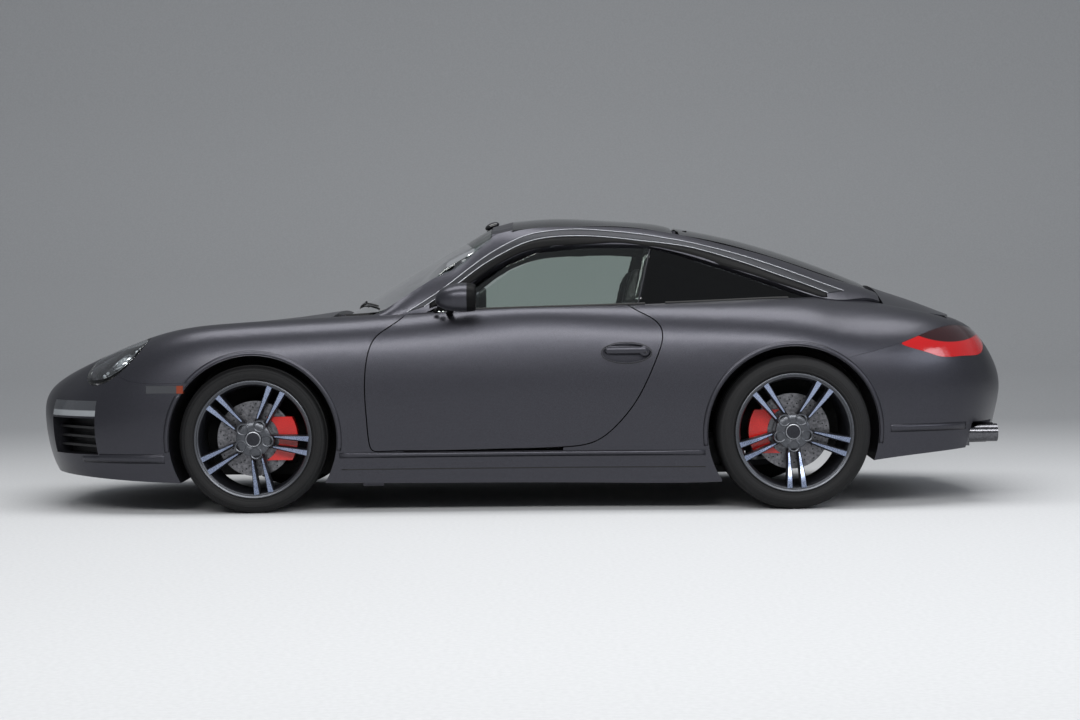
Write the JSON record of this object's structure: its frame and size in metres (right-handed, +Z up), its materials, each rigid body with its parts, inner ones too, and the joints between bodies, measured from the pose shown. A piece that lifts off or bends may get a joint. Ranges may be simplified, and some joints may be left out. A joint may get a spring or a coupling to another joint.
{
  "type": "removable-roof sports car",
  "caption": "Low two-door rear-engined sports car with a glass roof panel between long side rails, opening doors, lids and rear glass, and steered road wheels.",
  "frame": {"origin": "on the ground under the middle of the car", "axes": "+X to the tail, front at -X; +Y to the car's right side; +Z up"},
  "size_m": [4.4405, 1.944, 1.302],
  "materials": {
    "paint": "dark grey metallic paint, satin clear coat",
    "black_trim": "black grained plastic",
    "glass": "clear glass with a slight green tint",
    "dark_glass": "dark tinted glass",
    "lamp_lens": "clear lamp lens",
    "amber_lens": "orange lamp plastic",
    "red_lens": "red lamp plastic",
    "tyre": "black tyre rubber",
    "alloy": "machined and painted alloy",
    "disc_steel": "ground brake steel",
    "red_calliper": "red gloss paint",
    "cast_metal": "cast metal, dark",
    "tub_paint": "dark underbody paint",
    "leather": "black leather",
    "pipe_steel": "polished steel pipe"
  },
  "bodies": {
    "chassis": {"floor_tub": "tub_paint", "front_bumper": "paint", "front_grilles": "black_trim", "front_wings": "paint", "rear_quarters": "paint", "sills": "paint", "rear_bumper": "paint", "roof_frame": "paint", "windscreen": "glass", "roof_glass": "dark_glass", "rear_side_windows": "dark_glass", "headlamps": "lamp_lens", "day_lamps": "lamp_lens", "side_markers": "amber_lens", "tail_lamps": "red_lens", "exhaust": "pipe_steel", "engine_block": "cast_metal", "dashboard": "black_trim", "steering_column": "cast_metal", "front_seats": "leather", "rear_seats": "leather", "front_arms": "cast_metal", "rear_arms": "cast_metal", "rear_callipers": "red_calliper", "cowl": "black_trim"},
    "bonnet": {"bonnet": "paint"},
    "engine_lid": {"engine_lid": "paint"},
    "rear_hatch": {"rear_hatch": "dark_glass"},
    "steering_wheel": {"steering_wheel": "leather"},
    "door_left": {"door_left": "paint", "door_glass_left": "glass", "mirror_left": "paint"},
    "knuckle_left": {"knuckle_left": "cast_metal", "calliper_front_left": "red_calliper"},
    "wheel_front_left": {"tyre_front_left": "tyre", "wheel_front_left": "alloy", "brake_disc_front_left": "disc_steel"},
    "wheel_rear_left": {"tyre_rear_left": "tyre", "wheel_rear_left": "alloy", "brake_disc_rear_left": "disc_steel"},
    "door_right": {"door_right": "paint", "door_glass_right": "glass", "mirror_right": "paint"},
    "knuckle_right": {"knuckle_right": "cast_metal", "calliper_front_right": "red_calliper"},
    "wheel_front_right": {"tyre_front_right": "tyre", "wheel_front_right": "alloy", "brake_disc_front_right": "disc_steel"},
    "wheel_rear_right": {"tyre_rear_right": "tyre", "wheel_rear_right": "alloy", "brake_disc_rear_right": "disc_steel"}
  },
  "joints": [
    {"name": "steer_left", "type": "hinge", "parent": "chassis", "child": "knuckle_left", "pos_m": [-1.175, -0.712, 0.3235], "axis": [0, 0, 1], "range_deg": [-32, 32]},
    {"name": "spin_front_left", "type": "hinge", "parent": "knuckle_left", "child": "wheel_front_left", "pos_m": [-1.175, -0.744, 0.3235], "axis": [0, 1, 0], "continuous": true},
    {"name": "spin_rear_left", "type": "hinge", "parent": "chassis", "child": "wheel_rear_left", "pos_m": [1.175, -0.774, 0.333], "axis": [0, 1, 0], "continuous": true},
    {"name": "door_left_hinge", "type": "hinge", "parent": "chassis", "child": "door_left", "pos_m": [-0.56, -0.8, 0.55], "axis": [0, 0, -1], "range_deg": [0, 62]},
    {"name": "steer_right", "type": "hinge", "parent": "chassis", "child": "knuckle_right", "pos_m": [-1.175, 0.712, 0.3235], "axis": [0, 0, 1], "range_deg": [-32, 32]},
    {"name": "spin_front_right", "type": "hinge", "parent": "knuckle_right", "child": "wheel_front_right", "pos_m": [-1.175, 0.744, 0.3235], "axis": [0, 1, 0], "continuous": true},
    {"name": "spin_rear_right", "type": "hinge", "parent": "chassis", "child": "wheel_rear_right", "pos_m": [1.175, 0.774, 0.333], "axis": [0, 1, 0], "continuous": true},
    {"name": "door_right_hinge", "type": "hinge", "parent": "chassis", "child": "door_right", "pos_m": [-0.56, 0.8, 0.55], "axis": [0, 0, 1], "range_deg": [0, 62]},
    {"name": "bonnet_hinge", "type": "hinge", "parent": "chassis", "child": "bonnet", "pos_m": [-0.8, 0, 0.848], "axis": [0, 1, 0], "range_deg": [0, 65]},
    {"name": "engine_lid_hinge", "type": "hinge", "parent": "chassis", "child": "engine_lid", "pos_m": [1.602, 0, 0.948], "axis": [0, -1, 0], "range_deg": [0, 50]},
    {"name": "rear_hatch_hinge", "type": "hinge", "parent": "chassis", "child": "rear_hatch", "pos_m": [0.698, 0, 1.222], "axis": [0, -1, 0], "range_deg": [0, 40]},
    {"name": "steering_turn", "type": "hinge", "parent": "chassis", "child": "steering_wheel", "pos_m": [-0.3, -0.37, 0.712], "axis": [0.9135, 0, 0.4067], "range_deg": [-480, 480]}
  ],
  "couplings": [
    {"joint": "steer_right", "follows": "steer_left", "ratio": 1},
    {"joint": "steering_turn", "follows": "steer_left", "ratio": 15}
  ]
}
